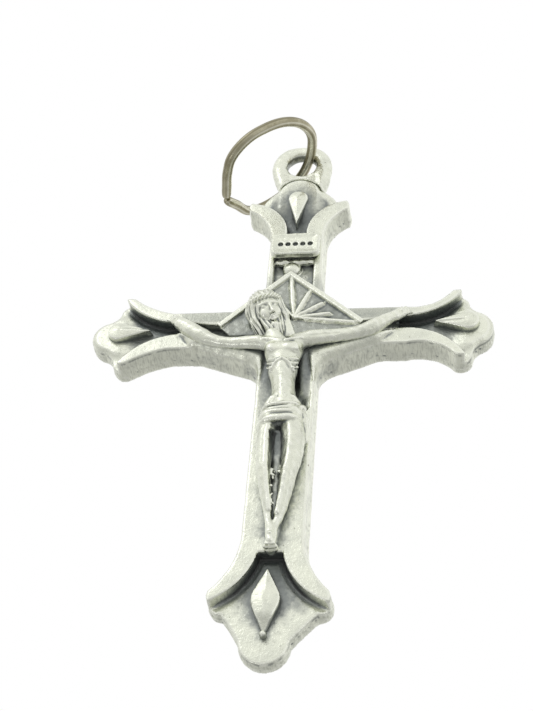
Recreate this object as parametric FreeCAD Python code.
"""Small cast pendant crucifix with applied relief and a split jump ring.

Frame, in millimetres: +Z runs up the stem, the front faces -Y, +X is to the right seen from the front.
The origin is the centre of the hanging eyelet's hole, in the middle of the plate's thickness.
Plan sizes are given from the crossing's centre (x to the side, h up the stem) and depths as y.
"""
import FreeCAD
import Part
import math
import os
from FreeCAD import Placement, Rotation, Vector

# --- plan of the cross, measured from the centre of the crossing ---
CROSS_DROP = 16.3        # crossing's centre below the eyelet's centre
STEM_LEFT = 1.78         # the stem's left side, from the axis of eyelet and ends
STEM_RIGHT = 2.20
BAR_TOP = 1.45
BAR_BOTTOM = 1.85
SIDE_REACH = 13.7        # crossing to the outer point of a side end
TOP_REACH = 14.9         # crossing to the outer point of the top end
BOTTOM_REACH = 24.25     # crossing to the outer point of the bottom end
TIP_ROUND = 0.85         # rounding of the flares' tips

# --- depths ---
THICK = 2.0              # back to border
BACK = THICK / 2
FRONT = -THICK / 2       # level of the raised borders
BED = FRONT + 0.9        # sunk bed of the four ends
CHANNEL = FRONT + 0.7    # sunk channel along stem and crossbar

# --- channel in the stem and crossbar ---
CHANNEL_STEM = (-1.25, 1.50)
CHANNEL_HALF_BAR = 0.7
CHANNEL_LOW = -11.8

# --- applied pieces ---
HALO_LEFT = 4.7
HALO_RIGHT = 5.2
HALO_HEIGHT = 4.7
HALO_THICK = 0.4
PLAQUE = (3.4, 0.55, 2.0)        # width, thickness, height
PLAQUE_MID = (0.20, 7.02)
STUD_RADIUS = 0.75
STUD_MID = 5.5

# --- eyelet and jump ring ---
EYELET_MID_RADIUS = 1.64
EYELET_SECTION = 0.60
RING_RADIUS = 3.91               # to the middle of the wire
WIRE_RADIUS = 0.36
RING_CENTRE = Vector(-2.30, -2.12, -1.84)
RING_NORMAL = Vector(-0.632, -0.072, 0.772)
RING_SPLIT_TOWARDS = Vector(-0.72, 0.22, -0.60)
RING_GAP_ANGLE = 2.2             # degrees of wire missing at the butt joint

UP = Vector(0, 0, 1)
OUT = Vector(1, 0, 0)


def line(a, b):
    return Part.LineSegment(a, b).toShape()


def arc(a, mid, b):
    return Part.Arc(a, mid, b).toShape()


def plan(u, v, direction):
    """A plan point u along an arm of the cross and v to its left side, at y = 0."""
    along = {"right": (1, 0), "top": (0, 1), "left": (-1, 0), "bottom": (0, -1)}[direction]
    return Vector(u * along[0] - v * along[1], 0, u * along[1] + v * along[0])


class End:
    """One flared end: its strip's two half widths, where the flare starts, and its three outer places.

    strips are the half widths on the sides v > 0 and v < 0; the wider side's tip stands out by half
    the difference. swell says how far the edge between tip and lobe bulges; below zero it is hollow.
    """

    def __init__(self, direction, strips, flare, tip, notch, reach, swell=-0.12):
        self.direction = direction
        self.strips = strips
        self.flare = flare
        self.tip = tip
        self.notch = notch
        self.reach = reach
        self.swell = swell

    def point(self, u, v):
        return plan(u, v, self.direction)

    def tip_rim(self, angle, tip_v):
        """A place on the rounded tip of the flare; 0 degrees points out along the arm."""
        turn = math.radians(angle)
        return self.tip[0] + TIP_ROUND * math.cos(turn), tip_v - TIP_ROUND + TIP_ROUND * math.sin(turn)

    def half_outline(self, side):
        """Edges from the strip out to the lobe, on the side v > 0 or v < 0."""
        strip = self.strips[0] if side > 0 else self.strips[1]
        tip_v = self.tip[1] + 0.5 * (strip - min(self.strips))
        notch_u, notch_v = self.notch
        rim = [self.tip_rim(angle, tip_v) for angle in (120, 45, 0)]
        rise = rim[0][1] - strip
        run = rim[0][0] - self.flare
        start = self.point(self.flare, side * strip)
        bend = self.point(self.flare + 0.62 * run, side * (strip + 0.34 * rise))
        tip_in, tip_mid, tip_out = [self.point(u, side * v) for u, v in rim]
        waist_u = 0.5 * (rim[2][0] + notch_u) + 0.55 * self.swell
        waist_v = 0.5 * (rim[2][1] + notch_v) + 0.83 * self.swell
        waist = self.point(waist_u, side * waist_v)
        notch = self.point(notch_u, side * notch_v)
        return [arc(start, bend, tip_in), arc(tip_in, tip_mid, tip_out), arc(tip_out, waist, notch)]

    def outline(self):
        """All edges round the end, from the side v < 0 to the side v > 0."""
        lower = self.half_outline(-1)
        notch_u, notch_v = self.notch
        lobe = arc(self.point(notch_u, -notch_v), self.point(self.reach, 0), self.point(notch_u, notch_v))
        return lower + [lobe] + list(reversed(self.half_outline(1)))

    def bed(self, inner, half, mid):
        """Solid that cuts the sunk bed: from its inner edge out past the lobe, between the two borders."""
        tip_u, tip_v = self.tip
        outer_u = tip_u + 0.55
        outer_v = tip_v + 0.15
        far = self.reach + 1.0
        rim = [
            line(self.point(inner, half), self.point(inner, -half)),
            arc(self.point(inner, -half), self.point(mid[0], -mid[1]), self.point(outer_u, -outer_v)),
            line(self.point(outer_u, -outer_v), self.point(far, -outer_v)),
            line(self.point(far, -outer_v), self.point(far, outer_v)),
            line(self.point(far, outer_v), self.point(outer_u, outer_v)),
            arc(self.point(outer_u, outer_v), self.point(mid[0], mid[1]), self.point(inner, half)),
        ]
        return prism(rim, FRONT - 1.0, BED)


def prism(edges, y_low, y_high):
    """Solid between two depths whose plan is the closed loop of edges, drawn at y = 0."""
    wire = Part.Wire(Part.__sortEdges__(edges))
    face = Part.Face(wire)
    face.translate(Vector(0, y_low, 0))
    return face.extrude(Vector(0, y_high - y_low, 0))


def box(x_low, x_high, y_low, y_high, h_low, h_high):
    size = Vector(x_high - x_low, y_high - y_low, h_high - h_low)
    return Part.makeBox(size.x, size.y, size.z, Vector(x_low, y_low, h_low))


def ball(x, y, h, radius):
    return Part.makeSphere(radius, Vector(x, y, h))


def limb(a, radius_a, b, radius_b):
    """Round-ended taper between two points: an arm, a leg or a neck."""
    axis = b - a
    taper = Part.makeCone(radius_a, radius_b, axis.Length, a, axis)
    return taper.multiFuse([Part.makeSphere(radius_a, a), Part.makeSphere(radius_b, b)])


RIGHT = End("right", (BAR_TOP, BAR_BOTTOM), 7.9, (11.15, 2.90), (12.7, 1.40), SIDE_REACH)
LEFT = End("left", (BAR_BOTTOM, BAR_TOP), 7.9, (11.15, 2.90), (12.7, 1.40), SIDE_REACH)
TOP = End("top", (STEM_LEFT, STEM_RIGHT), 8.4, (11.45, 3.65), (13.75, 1.65), TOP_REACH, 0.18)
BOTTOM = End("bottom", (STEM_RIGHT, STEM_LEFT), 16.2, (20.3, 3.70), (22.8, 1.55), BOTTOM_REACH)


def cross_outline():
    """Closed outline: four flared ends, filled upper corners behind the halo, webs under the arms."""
    web_wide = 6.0
    web_drop = 3.2
    web_low = 4.5
    edges = RIGHT.outline() + TOP.outline() + LEFT.outline() + BOTTOM.outline()
    for side, stem, halo in ((1, STEM_RIGHT, HALO_RIGHT), (-1, STEM_LEFT, HALO_LEFT)):
        halo_slope = HALO_HEIGHT / halo
        corner_wide = (HALO_HEIGHT - BAR_TOP) / halo_slope
        bar_edge = Vector(side * RIGHT.flare, 0, BAR_TOP)
        corner_bar = Vector(side * corner_wide, 0, BAR_TOP)
        corner_stem = Vector(side * stem, 0, HALO_HEIGHT - halo_slope * stem)
        stem_edge = Vector(side * stem, 0, TOP.flare)
        edges += [line(bar_edge, corner_bar), line(corner_bar, corner_stem), line(corner_stem, stem_edge)]
        bar_under = Vector(side * RIGHT.flare, 0, -BAR_BOTTOM)
        web_start = Vector(side * web_wide, 0, -BAR_BOTTOM)
        web_end = Vector(side * (stem + 0.75), 0, -web_drop)
        web_bend = Vector(side * (stem + 0.18), 0, -web_drop - 0.45)
        web_foot = Vector(side * stem, 0, -web_low)
        stem_low = Vector(side * stem, 0, -BOTTOM.flare)
        edges += [line(bar_under, web_start), line(web_start, web_end)]
        edges += [arc(web_end, web_bend, web_foot), line(web_foot, stem_low)]
    return edges


def make_cross_body():
    body = prism(cross_outline(), FRONT, BACK)
    cuts = [
        RIGHT.bed(7.4, 0.72, (9.95, 1.22)),
        LEFT.bed(7.4, 0.72, (9.95, 1.22)),
        TOP.bed(8.7, 1.05, (10.35, 1.60)),
        BOTTOM.bed(17.4, 0.85, (19.15, 1.70)),
        box(-7.5, 7.5, FRONT - 1, CHANNEL, -CHANNEL_HALF_BAR, CHANNEL_HALF_BAR),
        box(CHANNEL_STEM[0], CHANNEL_STEM[1], FRONT - 1, CHANNEL, CHANNEL_LOW, 8.8),
    ]
    return body.cut(cuts).removeSplitter()


def make_boss(end, tip_u, wide_u, half, round_radius):
    """Teardrop on an end's bed: a pointed tail towards the crossing and a round head outwards."""
    lean = math.asin(round_radius / (wide_u - tip_u))
    touch_u = wide_u - round_radius * math.sin(lean)
    touch_v = round_radius * math.cos(lean)
    edges = [
        line(end.point(tip_u, 0), end.point(touch_u, touch_v)),
        arc(end.point(touch_u, touch_v), end.point(wide_u + round_radius, 0), end.point(touch_u, -touch_v)),
        line(end.point(touch_u, -touch_v), end.point(tip_u, 0)),
    ]
    return prism(edges, BED - half, BED)


def make_lozenge():
    """Kite-shaped boss of the bottom end."""
    corners = [(18.5, 0), (20.4, 0.95), (22.6, 0), (20.4, -0.95)]
    points = [BOTTOM.point(u, v) for u, v in corners]
    edges = [line(points[i], points[(i + 1) % 4]) for i in range(4)]
    return prism(edges, BED - 0.75, BED)


def make_halo_plate():
    """Upper half of a square set on its corner, lying on the borders behind the figure."""
    skirt = 0.9
    points = [
        Vector(-HALO_LEFT, 0, 0),
        Vector(0, 0, HALO_HEIGHT),
        Vector(HALO_RIGHT, 0, 0),
        Vector(HALO_RIGHT - skirt, 0, -skirt),
        Vector(skirt - HALO_LEFT, 0, -skirt),
    ]
    edges = [line(points[i], points[(i + 1) % 5]) for i in range(5)]
    return prism(edges, FRONT - HALO_THICK, FRONT)


def make_title_plaque():
    """Plain rounded tablet across the stem, with a row of small round punch marks."""
    width, thick, height = PLAQUE
    mid_x, mid_h = PLAQUE_MID
    low_x, low_h = mid_x - width / 2, mid_h - height / 2
    slab = box(low_x, low_x + width, FRONT - thick, FRONT, low_h, low_h + height)
    slab = slab.makeFillet(0.35, [e for e in slab.Edges if abs(e.tangentAt(e.FirstParameter).y) > 0.9])
    marks = 5
    pitch = 0.52
    for i in range(marks):
        x = mid_x + (i - (marks - 1) / 2) * pitch
        slab = slab.cut(Part.makeCylinder(0.15, 0.3, Vector(x, FRONT - thick - 0.15, mid_h), Vector(0, 1, 0)))
    return slab


def make_dome_stud():
    """Small domed stud in the channel between the tablet and the halo."""
    stud = Part.makeCylinder(STUD_RADIUS, 0.35, Vector(0, CHANNEL - 0.35, STUD_MID), Vector(0, 1, 0))
    dome_radius = 1.0
    rise = dome_radius - math.sqrt(dome_radius ** 2 - STUD_RADIUS ** 2)
    dome = ball(0, CHANNEL - 0.35 + dome_radius - rise, STUD_MID, dome_radius)
    keep = box(-2, 2, CHANNEL - 2, CHANNEL - 0.35, STUD_MID - 2, STUD_MID + 2)
    return stud.fuse(dome.common(keep)).removeSplitter()


def make_corpus(cross, halo):
    """The figure: head bowed to the left, arms raised to the ends, legs together, one casting."""
    shapes = [
        limb(Vector(-1.50, -1.95, 1.10), 1.15, Vector(-0.95, -2.05, -0.90), 1.0),
        limb(Vector(-0.50, -1.85, -1.2), 0.62, Vector(0.0, -1.75, -2.6), 0.75),
        limb(Vector(0.10, -1.60, -3.0), 1.15, Vector(0.15, -1.50, -6.3), 0.85),
        limb(Vector(0.15, -1.50, -6.3), 0.85, Vector(0.15, -1.55, -7.9), 1.20),
        limb(Vector(0.15, -1.55, -7.9), 1.20, Vector(0.20, -1.60, -9.0), 1.25),
        limb(Vector(-0.50, -1.75, -9.2), 0.75, Vector(-0.35, -1.85, -12.2), 0.62),
        limb(Vector(-0.35, -1.85, -12.2), 0.62, Vector(-0.05, -1.45, -16.2), 0.42),
        limb(Vector(0.80, -1.70, -9.2), 0.75, Vector(0.65, -1.75, -12.2), 0.62),
        limb(Vector(0.65, -1.75, -12.2), 0.62, Vector(0.30, -1.40, -16.0), 0.40),
        limb(Vector(0.10, -1.45, -16.2), 0.48, Vector(0.15, -1.35, -17.3), 0.44),
        box(-1.0, 1.0, -1.4, CHANNEL, -12.5, -1.0),
        box(-0.30, 0.50, -1.3, FRONT, -17.6, -12.3),
    ]
    for side in (1, -1):
        shapes.append(limb(Vector(side * 1.0, -1.55, -2.2), 0.80, Vector(side * 4.6, -1.35, -1.30), 0.62))
        shapes.append(limb(Vector(side * 4.6, -1.35, -1.30), 0.62, Vector(side * 7.3, -1.25, 0.25), 0.42))
        shapes.append(limb(Vector(side * 7.3, -1.25, 0.25), 0.42, Vector(side * 8.0, -1.15, 0.70), 0.34))
    figure = shapes[0].multiFuse(shapes[1:])
    above_plate = box(-20, 20, -10, CHANNEL, -30, 30)
    figure = figure.common(above_plate).cut([cross, halo])
    return max(figure.Solids, key=lambda s: s.Volume).removeSplitter()


def make_hanging_eyelet():
    """Round-section eye whose lower part is seated against the top lobe."""
    eye = Part.makeTorus(EYELET_MID_RADIUS, EYELET_SECTION, Vector(0, 0, CROSS_DROP), Vector(0, 1, 0))
    eye = eye.cut(prism(cross_outline(), -3, 3))
    return max(eye.Solids, key=lambda s: s.Volume)


def make_jump_ring():
    """Split wire ring threaded through the eyelet, with its butt joint on the far side."""
    normal = Vector(RING_NORMAL).normalize()
    towards = Vector(RING_SPLIT_TOWARDS)
    radial = (towards - normal * towards.dot(normal)).normalize()
    start_turn = Rotation(normal, RING_GAP_ANGLE / 2)
    radial = start_turn.multVec(radial)
    tangent = normal.cross(radial)
    middle = RING_CENTRE + radial * RING_RADIUS
    section = Part.Face(Part.Wire(Part.makeCircle(WIRE_RADIUS, middle, tangent)))
    return section.revolve(RING_CENTRE, normal, 360 - RING_GAP_ANGLE)


def export(name, shape):
    if not shape.isValid():
        raise ValueError(name + " is not a valid solid")
    shape.exportStep("parts/" + name + ".step")
    print("{:16s} {:9.3f} mm3  {} solid".format(name, shape.Volume, len(shape.Solids)))


def main():
    os.makedirs("parts", exist_ok=True)
    cross = make_cross_body()
    halo = make_halo_plate()
    pieces = {
        "cross_body": cross,
        "hanging_eyelet": make_hanging_eyelet(),
        "halo_plate": halo,
        "title_plaque": make_title_plaque(),
        "dome_stud": make_dome_stud(),
        "boss_top": make_boss(TOP, 9.6, 12.4, 0.75, 0.78),
        "boss_left": make_boss(LEFT, 9.6, 11.75, 0.75, 0.75),
        "boss_right": make_boss(RIGHT, 9.6, 11.75, 0.75, 0.75),
        "boss_bottom": make_lozenge(),
        "corpus": make_corpus(cross, halo),
    }
    down = Placement(Vector(0, 0, -CROSS_DROP), Rotation())
    for name, shape in pieces.items():
        placed = shape.copy()
        placed.Placement = down.multiply(placed.Placement)
        export(name, placed)
    export("jump_ring", make_jump_ring())


main()
